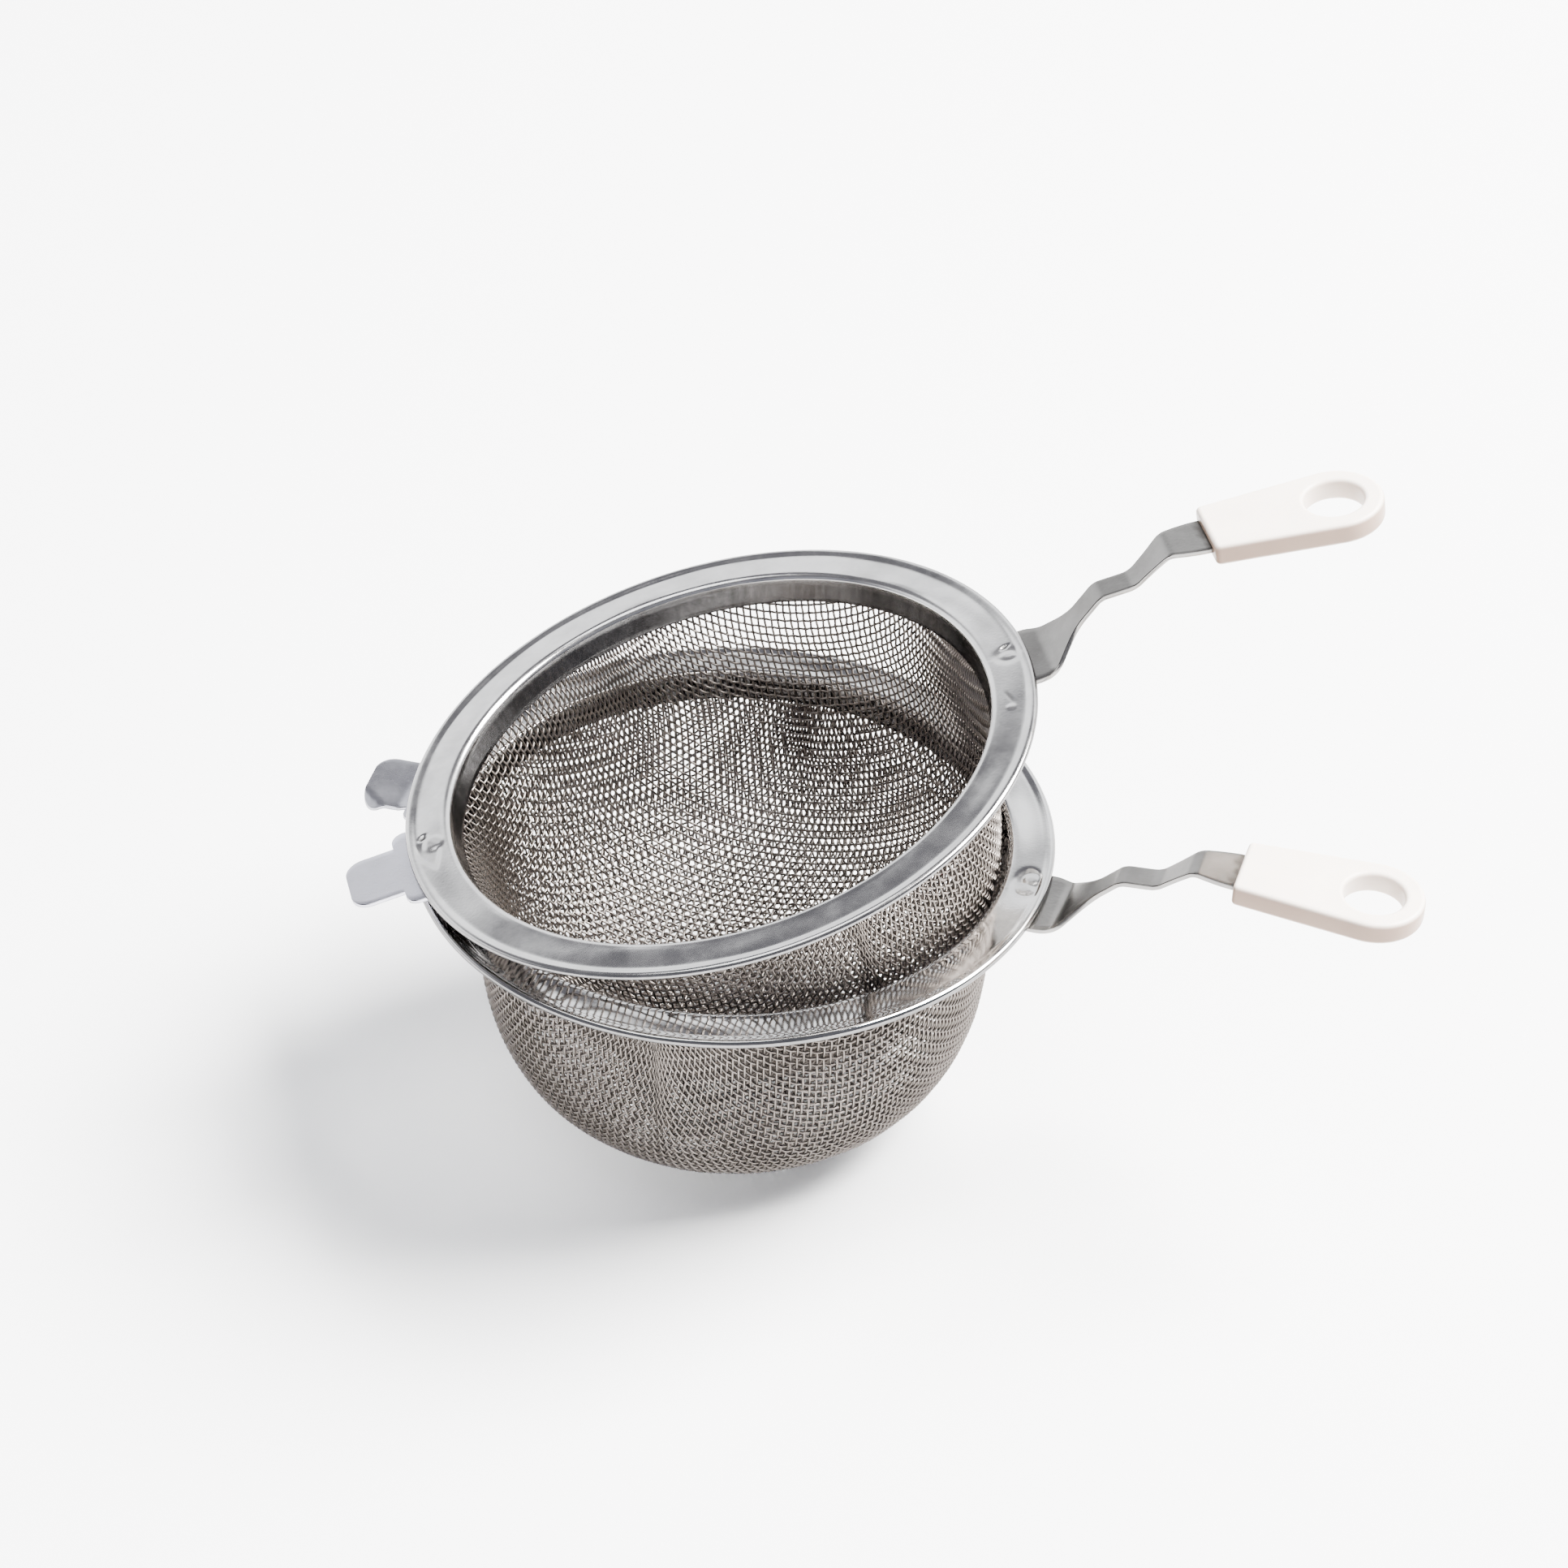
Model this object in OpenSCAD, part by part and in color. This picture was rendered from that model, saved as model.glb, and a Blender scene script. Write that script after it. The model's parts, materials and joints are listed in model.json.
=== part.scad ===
// Double sieve strainer: two round wire-cloth bowls, each in a pressed steel rim with a
// rolled edge, a stepped strap handle with a moulded grip, and a front tab opposite it.
// The lower sieve stands on the table; the upper one rests tilted inside it and lifts off.
// Millimetres, +Z up. Origin: on the lower bowl's flat base, under the centre of its rim.
// Lower handle along +X.

/* [Rim] */
// outer diameter of the rolled rim
rim_d = 150; // [130:1:170]
// thickness of the pressed rim sheet
sheet_t = 0.7; // [0.5:0.1:1.0]
// radius of the rolled outer bead
bead_r = 1.1; // [0.9:0.1:1.4]
// how far the bead stands above the flange
bead_rise = 0.3; // [0.1:0.1:0.6]
// width of the flange with its bead
rim_w = 11; // [9:0.2:14]
// radius of the bend from the flange into the collar
bend_r = 1.6; // [1.4:0.1:3]
// depth of the collar below the flange face
collar_h = 6.8; // [5:0.2:9]
// how far the collar leans in over its depth
collar_lean = 1.4; // [0.6:0.1:2]

/* [Wire cloth bowl] */
// depth of the bowl below the flange face
bowl_depth = 72.75; // [60:0.25:80]
// roundness of the lower bowl: higher is more box-like
lower_power = 3.5; // [2.6:0.1:4.5]
// roundness of the upper bowl: higher is more box-like
upper_power = 2.9; // [2.6:0.1:3.2]
// thickness of the cloth, two wires
cloth_t = 0.9; // [0.6:0.1:1.2]
// rise of the round bottom that the flat base cuts off
base_cut = 0.3; // [0.2:0.05:0.5]

/* [Handle strap] */
// thickness of the strap
strap_t = 1.2; // [0.8:0.1:1.6]
// width of the spread root under the rim
fan_w = 20.5; // [16:0.5:24]
// width of the strap at the first step
neck_w = 6.9; // [5:0.1:9]
// width of the strap where it enters the grip
mouth_w = 12.4; // [10:0.2:14]
// height of the first step above the strap root
step_1 = 12.2; // [9:0.1:15]
// height of the second step above the first
step_2 = 6.8; // [4:0.1:9]
// downward slope of the grip, degrees
grip_slope = 4.5; // [0:0.5:8]
// lift of the lower handle from its nominal angle, degrees
lower_lift = 2.3; // [-3:0.1:3]
// lift of the upper handle from its nominal angle, degrees
upper_lift = -2.3; // [-3:0.1:3]

/* [Grip] */
// length of the grip
grip_l = 42; // [36:1:50]
// width of the grip at the strap
grip_w = 17.8; // [16:0.2:20]
// width of the grip round its hanging hole
grip_end_w = 23; // [20:0.2:26]
// thickness of the grip
grip_t = 5.5; // [5:0.1:7]
// diameter of the hanging hole
hang_d = 13.8; // [10:0.2:15]

/* [Front tab] */
// length of the tab beyond the rim
tab_out = 15.2; // [10:0.2:20]
// width of the tab's tongue
tab_w = 17; // [12:0.5:20]
// width across the tab's shoulders
shoulder_w = 26.5; // [22:0.5:30]
// thickness of the tab
tab_t = 1; // [0.8:0.1:1.4]
// offset of the tab from the handle's line, degrees
tab_skew = 1.8; // [-3:0.1:3]

/* [Upper sieve at rest] */
// tilt of the upper sieve, degrees
tilt = 14.3; // [13:0.1:15]
// direction towards which the upper sieve's axis leans, degrees
lean_dir = 204.6; // [200:0.1:210]
// turn of the upper sieve about its own axis, degrees
spin = 184.7; // [180:0.1:188]
// shift of the upper rim's centre along X
up_x = -3.2; // [-3.5:0.1:-3]
// shift of the upper rim's centre along Y
up_y = -1.9; // [-2.2:0.1:-1.6]
// height of the upper rim's centre above the lower rim's
up_z = 24.9; // [24.8:0.1:28]

/* [Hidden] */
$fn = 96;
rim_r = rim_d / 2;
collar_r = rim_r - rim_w;
collar_low_r = collar_r - collar_lean;
bend_x = collar_r + bend_r;
plate_z = bead_rise - 2 * bead_r - 0.05;
cloth_top = -3.2;
root_r = collar_r + 3.6;
root_bend = rim_r + 4.3;
step_run = 8.5;
rise_1 = 13.9;
rise_2 = 8.8;
grip_gap = 10;
tang_l = 12;
wall_r = collar_low_r - 2;
wall_top = -7;
steps = 26;

// mid-line of the cloth: u runs from 0 at the collar to 1 at the bottom
function flare(u) = u < 0.2 ? 3.45 * pow(1 - u / 0.2, 2) : 0;
function cloth_r(u, n) = wall_r * pow(max(0, 1 - pow(u, n)), 1 / n) + flare(u);
mid_depth = bowl_depth - cloth_t / 2 + base_cut;
function cloth_z(u) = max(wall_top - (mid_depth + wall_top) * u, cloth_t / 2 - bowl_depth);
function u_at(i) = sin(90 * i / steps);
function cloth_mid(i, n) = i < 0
    ? [cloth_r(0, n) + 0.29 * (cloth_top - wall_top), cloth_top]
    : [cloth_r(u_at(i), n), cloth_z(u_at(i))];
function unit(v) = v / norm(v);
function cloth_dir(i, n) = i >= steps ? [-1, 0]
    : unit(cloth_mid(min(i + 1, steps), n) - cloth_mid(max(i - 1, -1), n));
function cloth_side(i, s, n) = let (d = cloth_dir(i, n), m = cloth_mid(i, n))
    [max(0, m[0] - s * d[1]), m[1] + s * d[0]];

// rounded path through a list of corners
function bend3(a, b, c, t) = (1 - t) * (1 - t) * a + 2 * t * (1 - t) * b + t * t * c;
function near_pt(b, a, d) = b + d * unit(a - b);
function rounded(p, d) = [for (i = [0:len(p) - 1])
    for (q = (i == 0 || i == len(p) - 1) ? [p[i]]
        : [for (t = [0:0.25:1]) bend3(near_pt(p[i], p[i - 1], d), p[i], near_pt(p[i], p[i + 1], d), t)]) q];
function path_dir(p, i) = unit(p[min(i + 1, len(p) - 1)] - p[max(i - 1, 0)]);
function below(p, t) = [for (i = [len(p) - 1:-1:0]) p[i] + t * [path_dir(p, i)[1], -path_dir(p, i)[0]]];

// top line of the strap from its root to the end of the tang, lifted about the root bend
strap_a = [root_bend, plate_z];
function lifted(p, a) = strap_a + [
    (p[0] - strap_a[0]) * cos(a) - (p[1] - strap_a[1]) * sin(a),
    (p[0] - strap_a[0]) * sin(a) + (p[1] - strap_a[1]) * cos(a)];
strap_b = strap_a + [rise_1, step_1];
strap_c = strap_b + [step_run, 0.3];
strap_d = strap_c + [rise_2, step_2];
strap_g = strap_d + grip_gap * [cos(grip_slope), -sin(grip_slope)];
strap_e = strap_g + tang_l * [cos(grip_slope), -sin(grip_slope)];
function strap_line(a) = concat([[root_r, plate_z], strap_a],
    [for (p = [strap_b, strap_c, strap_d, strap_e]) lifted(p, a)]);

// width of the strap at a distance from the sieve's axis
function ease(t) = (1 - cos(180 * min(1, max(0, t)))) / 2;
function strap_w(x) = x < root_r + 3 ? fan_w - 6 + 2 * sqrt(9 - pow(root_r + 3 - x, 2))
    : x < strap_c[0] ? fan_w + (neck_w - fan_w) * ease((x - rim_r - 0.5) / 13)
    : neck_w + (mouth_w - neck_w) * ease((x - strap_c[0]) / (strap_g[0] - strap_c[0]));
strap_x = concat([for (i = [0:5]) root_r + 3 * (1 - cos(18 * i))],
    [for (i = [0:30]) rim_r + (strap_e[0] + 3 - rim_r) * i / 30]);

function arc(c, r, a0, a1, n) = [for (i = [0:n]) let (a = a0 + (a1 - a0) * i / n) c + r * [cos(a), sin(a)]];
bead_top = 180 - asin((bead_r - bead_rise) / bead_r);
bead_low = -180 - asin((bead_r - bead_rise - sheet_t) / bead_r);

// section of the rim: bend, flange and rolled bead in one line, then back under to the collar
module rim() rotate_extrude() polygon(concat(
    arc([bend_x, -bend_r], bend_r, 180, 90, 8),
    arc([rim_r - bead_r, bead_rise - bead_r], bead_r, bead_top, bead_low, 24),
    arc([bend_x, -bend_r], bend_r - sheet_t, 90, 180, 8),
    [[collar_low_r + sheet_t, -collar_h], [collar_low_r, -collar_h]]));

module cloth_bowl(n) rotate_extrude() polygon(concat(
    [for (i = [-1:steps]) cloth_side(i, cloth_t / 2, n)],
    [for (i = [steps:-1:-1]) cloth_side(i, -cloth_t / 2, n)]));

module handle_strap(lift) intersection() {
    translate([0, 20, 0]) rotate([90, 0, 0]) linear_extrude(40)
        polygon(concat(rounded(strap_line(lift), 1.8), below(rounded(strap_line(lift), 1.8), strap_t)));
    translate([0, 0, -30]) linear_extrude(80)
        polygon(concat([for (x = strap_x) [x, strap_w(x) / 2]],
            [for (i = [len(strap_x) - 1:-1:0]) [strap_x[i], -strap_w(strap_x[i]) / 2]]));
}

// frame of the grip: x along it from its inner end, z = 0 on the strap's top face
module at_grip(lift) translate([lifted(strap_g, lift)[0], 0, lifted(strap_g, lift)[1]])
    rotate([0, grip_slope - lift, 0]) children();

module grip(lift) at_grip(lift) difference() {
    translate([0, 0, -(grip_t + strap_t) / 2]) linear_extrude(grip_t) difference() {
        union() {
            polygon([[0, 1 - grip_w / 2], [1, -grip_w / 2], [grip_l - grip_end_w / 2, -grip_end_w / 2],
                [grip_l - grip_end_w / 2, grip_end_w / 2], [1, grip_w / 2], [0, grip_w / 2 - 1]]);
            translate([grip_l - grip_end_w / 2, 0]) circle(d = grip_end_w);
        }
        translate([grip_l - grip_end_w / 2, 0]) circle(d = hang_d);
    }
    translate([-1, -mouth_w / 2 - 0.1, -strap_t - 0.1]) cube([tang_l + 1.6, mouth_w + 0.2, strap_t + 0.2]);
}

module rounded_plate(x0, x1, w, r) {
    translate([x0, -w / 2]) square([x1 - x0 - r, w]);
    translate([x0, r - w / 2]) square([x1 - x0, w - 2 * r]);
    for (s = [-1, 1]) translate([x1 - r, s * (w / 2 - r)]) circle(r);
}

module front_tab() rotate([0, 0, 180 + tab_skew]) translate([0, 0, plate_z - tab_t]) linear_extrude(tab_t) {
    rounded_plate(root_r, rim_r + 3, shoulder_w, 3);
    rounded_plate(rim_r, rim_r + tab_out, tab_w, 4.5);
}

// weld nuggets joining the flange to the strap root and to the tab
module spot_welds() {
    weld_r = (root_r + rim_r - 2 * bead_r) / 2;
    for (a = [2, 182 + tab_skew]) rotate([0, 0, a]) translate([weld_r, 0, plate_z])
        cylinder(h = -sheet_t - plate_z, r = 1.9);
}

module lower() translate([0, 0, bowl_depth]) children();
module upper() translate([up_x, up_y, bowl_depth + up_z])
    rotate([0, 0, lean_dir]) rotate([0, tilt, 0]) rotate([0, 0, spin]) children();

module lower_rim() color([0.74, 0.74, 0.75]) lower() rim();
module lower_mesh_bowl() color([0.55, 0.54, 0.53]) lower() cloth_bowl(lower_power);
module lower_handle_strap() color([0.68, 0.68, 0.69]) lower() handle_strap(lower_lift);
module lower_grip() color([0.95, 0.91, 0.88]) lower() grip(lower_lift);
module lower_front_tab() color([0.68, 0.68, 0.69]) lower() front_tab();
module lower_spot_welds() color([0.6, 0.6, 0.62]) lower() spot_welds();
module upper_rim() color([0.74, 0.74, 0.75]) upper() rim();
module upper_mesh_bowl() color([0.55, 0.54, 0.53]) upper() cloth_bowl(upper_power);
module upper_handle_strap() color([0.68, 0.68, 0.69]) upper() handle_strap(upper_lift);
module upper_grip() color([0.95, 0.91, 0.88]) upper() grip(upper_lift);
module upper_front_tab() color([0.68, 0.68, 0.69]) upper() front_tab();
module upper_spot_welds() color([0.6, 0.6, 0.62]) upper() spot_welds();

lower_rim();
lower_mesh_bowl();
lower_handle_strap();
lower_grip();
lower_front_tab();
lower_spot_welds();
upper_rim();
upper_mesh_bowl();
upper_handle_strap();
upper_grip();
upper_front_tab();
upper_spot_welds();
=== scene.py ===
import json
import math

import bpy
import numpy as np
from mathutils import Matrix, Vector


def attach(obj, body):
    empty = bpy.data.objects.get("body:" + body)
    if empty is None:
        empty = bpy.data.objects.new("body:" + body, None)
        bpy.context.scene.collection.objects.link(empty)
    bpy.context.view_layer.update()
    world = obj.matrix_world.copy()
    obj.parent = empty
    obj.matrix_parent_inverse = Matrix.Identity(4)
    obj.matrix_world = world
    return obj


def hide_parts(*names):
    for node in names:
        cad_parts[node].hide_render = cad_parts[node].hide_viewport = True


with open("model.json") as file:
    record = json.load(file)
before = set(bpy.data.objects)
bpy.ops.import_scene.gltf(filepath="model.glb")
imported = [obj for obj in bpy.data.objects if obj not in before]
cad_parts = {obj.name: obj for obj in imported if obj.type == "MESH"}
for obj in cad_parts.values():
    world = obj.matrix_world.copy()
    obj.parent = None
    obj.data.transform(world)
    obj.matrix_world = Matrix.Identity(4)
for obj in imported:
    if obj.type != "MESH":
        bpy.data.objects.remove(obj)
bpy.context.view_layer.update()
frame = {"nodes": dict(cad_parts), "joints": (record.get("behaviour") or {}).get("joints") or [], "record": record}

# ---------------------------------------------------------------- sizes, in a sieve's own millimetres
# a sieve's own frame has its origin at the rim's centre, level with the flange, and its handle along +X
# the rim: a collar that hangs from a bend, a flange, and a bead curled under at its edge
RIM_R = 75.0
SHEET = 0.7
BEAD_R = 1.1
BEAD_RISE = 0.3
COLLAR_R = 64.0
COLLAR_LOW_R = 62.6
COLLAR_H = 6.8
BEND_R = 1.6
BEAD_FOOT_R = 72.3
BEAD_UNDER = (72.7, -1.28)
FLANGE_DROOP = {"lower": -0.15, "upper": 0.34}
WAVES_IN_R, WAVES_OUT_R = 65.0, 74.2
MARKS_IN_R, MARKS_OUT_R = 65.2, 73.4
BEND_SHADE_R = 66.4
RIM_STEPS = 1080
PLATE_Z = BEAD_RISE - 2 * BEAD_R - 0.05
# the bowl of wire cloth
DEPTH = 72.75
WALL_R = 60.6
WALL_TOP_Z = -7
FLARE, FLARE_PART = 3.45, 0.2
CONE_SPREAD = 0.29
CLOTH_TOP = -3.2
POWER = {"lower": 3.5, "upper": 2.9}
PITCH = 1.65
WIRE_R = 0.30
CRIMP = 0.19
WIRE_SIDES = 5
STEPS_PER_CELL = 3
CREASE_DEG = {"lower": 2.0, "upper": 16.5}
CREASE_RISE = {"lower": 1.3, "upper": 0.8}
CREASE_START, CREASE_GROWTH = 56, 24
FAINT_CREASE = 0.25
# the handle's strap: its bends from root to end, as distance out and height
ROOT_R = COLLAR_R + 3.6
ROOT_CORNER_R = 3.0
STRAP_T = 1.2
STRAP_BEND, STRAP_STEP = 1.7, 0.8
STRAP_A = np.array([RIM_R + 4.3, PLATE_Z])
STRAP_B = STRAP_A + [13.9, 12.2]
STRAP_C = STRAP_B + [8.5, 0.3]
STRAP_D = STRAP_C + [8.8, 6.8]
GRIP_SLOPE = math.radians(4.5)
STRAP_G = STRAP_D + 10 * np.array([math.cos(GRIP_SLOPE), -math.sin(GRIP_SLOPE)])
STRAP_E = STRAP_G + 11.5 * np.array([math.cos(GRIP_SLOPE), -math.sin(GRIP_SLOPE)])
FAN_W, NECK_W, MOUTH_W = 20.5, 6.9, 12.4
LIFT = {"lower": math.radians(2.3), "upper": math.radians(-2.3)}
# the grip, and the tab opposite it
GRIP_L, GRIP_W, GRIP_END_W, GRIP_T, HANG_D = 42.0, 17.8, 23.0, 5.5, 13.8
GRIP_BEVEL, GRIP_CORNER_R = 1.1, 1.3
TAB_OUT, TAB_W, SHOULDER_W, TAB_T = 15.2, 17.0, 26.5, 1.0
TAB_END = RIM_R + TAB_OUT
TAB_TIP_R = 4.5
TAB_SKEW, TAB_TWIST, TAB_TWIST_START = math.radians(1.8), math.radians(4), 76
DOG_EAR = (TAB_END - 2.9, 5.6)

# ---------------------------------------------------------------- the view and the studio's light
# places are in metres, before the view's turn about the upright axis; the camera's place is
# measured from the centre of the lower rim, and the others from the origin
VIEW_TURN = math.radians(17.5)
VIEW_PITCH, VIEW_ROLL = math.radians(37.389), math.radians(0.187)
VIEW_AT = (0.011704, -0.820103, 0.641497)
SENSOR_W, LENS = 36, 102.484472
WALL_LIGHT = (0.95, 0.97, 1.0)
NEAR_LIGHT = (0.15, 0.155, 0.18)
CEILING_LIGHT = (0.08, 0.08, 0.09)
WALL_TOP, WALL_TILT, WALL_SOFT = 0.813, 0.166, 0.015
STUDIO_STRENGTH = 3.4
KEY_AT, KEY_AIM, KEY_SIZE, KEY_POWER = (1.86, 0.52, 2.52), (0, 0, 0.05), 2.0, 1250
KEY_COLOUR = (1.0, 0.985, 0.965)
TOP_AT, TOP_AIM, TOP_SIZE, TOP_POWER = (-0.5, -0.2, 2.4), (0, 0, 0), 1.4, 40
TOP_COLOUR = (0.96, 0.98, 1.0)
FLOOR_HALF = 3.0
EDGE_TINT = (0.55, 0.55, 0.55, 1)


# ---------------------------------------------------------------- camera
def make_camera():
    """Looks down at the nested sieves from in front of the handles' side."""
    cam = bpy.data.cameras.new("camera")
    cam.sensor_width, cam.lens = SENSOR_W, LENS
    cam.clip_start, cam.clip_end = 0.05, 20
    obj = bpy.data.objects.new("camera", cam)
    level = Vector((1, 0, 0))
    upright = Vector((0, math.sin(VIEW_PITCH), math.cos(VIEW_PITCH)))
    ahead = Vector((0, math.cos(VIEW_PITCH), -math.sin(VIEW_PITCH)))
    right = level * math.cos(VIEW_ROLL) + upright * math.sin(VIEW_ROLL)
    up = upright * math.cos(VIEW_ROLL) - level * math.sin(VIEW_ROLL)
    aim = Matrix((right, up, -ahead)).transposed().to_4x4()
    turn = Matrix.Rotation(VIEW_TURN, 4, "Z")
    spot = turn @ Vector(VIEW_AT)
    obj.matrix_world = Matrix.Translation(spot + Vector((0, 0, DEPTH / 1000))) @ turn @ aim
    bpy.context.scene.collection.objects.link(obj)
    bpy.context.scene.camera = obj


# ---------------------------------------------------------------- the two sieves' frames, from the CAD
def sieve_matrix(side):
    """4x4 from a sieve's own millimetres to the row's metres, read off its CAD rim and its grip's hole."""
    joint = frame["joints"][0]
    axis = Vector((0, 0, 1)) if side == "lower" else Vector(joint["axis"]).normalized()
    hole = [m for m in frame["record"]["mounts"] if m["name"] == side + "_hanging_hole"][0]
    rim = frame["nodes"][side + "_rim"].data.vertices
    co = np.array([v.co for v in rim])
    u = axis.orthogonal().normalized()
    v = axis.cross(u)
    mid = [(co @ np.array(d)).min() / 2 + (co @ np.array(d)).max() / 2 for d in (u, v)]
    top = (co @ np.array(axis)).max() - BEAD_RISE / 1000
    centre = u * mid[0] + v * mid[1] + axis * top
    x = Vector(hole["pos_m"]) - centre
    x = (x - axis * x.dot(axis)).normalized()
    y = axis.cross(x)
    m = Matrix((x, y, axis)).transposed().to_4x4()
    m.translation = centre
    return m @ Matrix.Scale(0.001, 4)


# ---------------------------------------------------------------- small mesh tools
def mesh_object(name, verts, faces, smooth=True, sharp_deg=None):
    """A small mesh; edges sharper than sharp_deg stay sharp."""
    me = bpy.data.meshes.new(name)
    me.from_pydata([tuple(v) for v in verts], [], [tuple(int(i) for i in f) for f in faces])
    me.polygons.foreach_set("use_smooth", [smooth] * len(me.polygons))
    if sharp_deg is not None:
        me.set_sharp_from_angle(angle=math.radians(sharp_deg))
    obj = bpy.data.objects.new(name, me)
    bpy.context.scene.collection.objects.link(obj)
    return obj


def grid_object(name, co, *face_sets):
    """A large mesh filled in one go; each array of face_sets holds faces with one number of corners."""
    me = bpy.data.meshes.new(name)
    me.vertices.add(len(co))
    me.vertices.foreach_set("co", np.asarray(co, np.float32).ravel())
    corners = np.concatenate([f.ravel() for f in face_sets])
    me.loops.add(len(corners))
    me.loops.foreach_set("vertex_index", corners.astype(np.int32))
    sizes = np.concatenate([np.full(len(f), f.shape[1]) for f in face_sets])
    me.polygons.add(len(sizes))
    me.polygons.foreach_set("loop_start", np.r_[0, np.cumsum(sizes)[:-1]].astype(np.int32))
    me.update(calc_edges=True)
    me.polygons.foreach_set("use_smooth", np.ones(len(sizes), bool))
    obj = bpy.data.objects.new(name, me)
    bpy.context.scene.collection.objects.link(obj)
    return obj


def paint(obj, name, values):
    """A number per vertex that a material can read."""
    layer = obj.data.attributes.new(name, "FLOAT", "POINT")
    layer.data.foreach_set("value", np.asarray(values, np.float32))


def place(obj, side, matrix, material):
    """Moves a mesh from the sieve's frame to the row's, and gives it its material and body."""
    obj.data.transform(matrix)
    obj.data.materials.clear()
    obj.data.materials.append(material)
    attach(obj, side + "_sieve")
    return obj


def smooth_noise(rng, x, y, waves, size):
    """Mean of a few sine waves of about the wavelength size, from -1 to 1."""
    out = np.zeros_like(x)
    for _ in range(waves):
        a, p = rng.uniform(0, 2 * math.pi, 2)
        k = 2 * math.pi / size * rng.uniform(0.7, 1.4)
        out += np.sin(k * (x * math.cos(a) + y * math.sin(a)) + p)
    return out / waves


# ---------------------------------------------------------------- wire cloth
def cloth_profile(power, extra=4.0):
    """Mid-line of the cloth from the bottom to past its top edge: radius, height, length."""
    mid_depth = DEPTH - 0.15
    u = np.sin(np.linspace(math.pi / 2, 0, 400))
    r = WALL_R * np.maximum(0, 1 - u**power) ** (1 / power)
    r += np.where(u < FLARE_PART, FLARE * (1 - u / FLARE_PART) ** 2, 0)
    z = np.maximum(WALL_TOP_Z - (mid_depth + WALL_TOP_Z) * u, WIRE_R + CRIMP - DEPTH)
    # a short cone runs on from the top of the wall, outside the collar
    t = np.linspace(0, 1, 13)[1:] * (CLOTH_TOP - WALL_TOP_Z + extra)
    r = np.r_[r, r[-1] + CONE_SPREAD * t]
    z = np.r_[z, WALL_TOP_Z + t]
    s = np.r_[0, np.cumsum(np.hypot(np.diff(r), np.diff(z)))]
    return r, z, s


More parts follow.
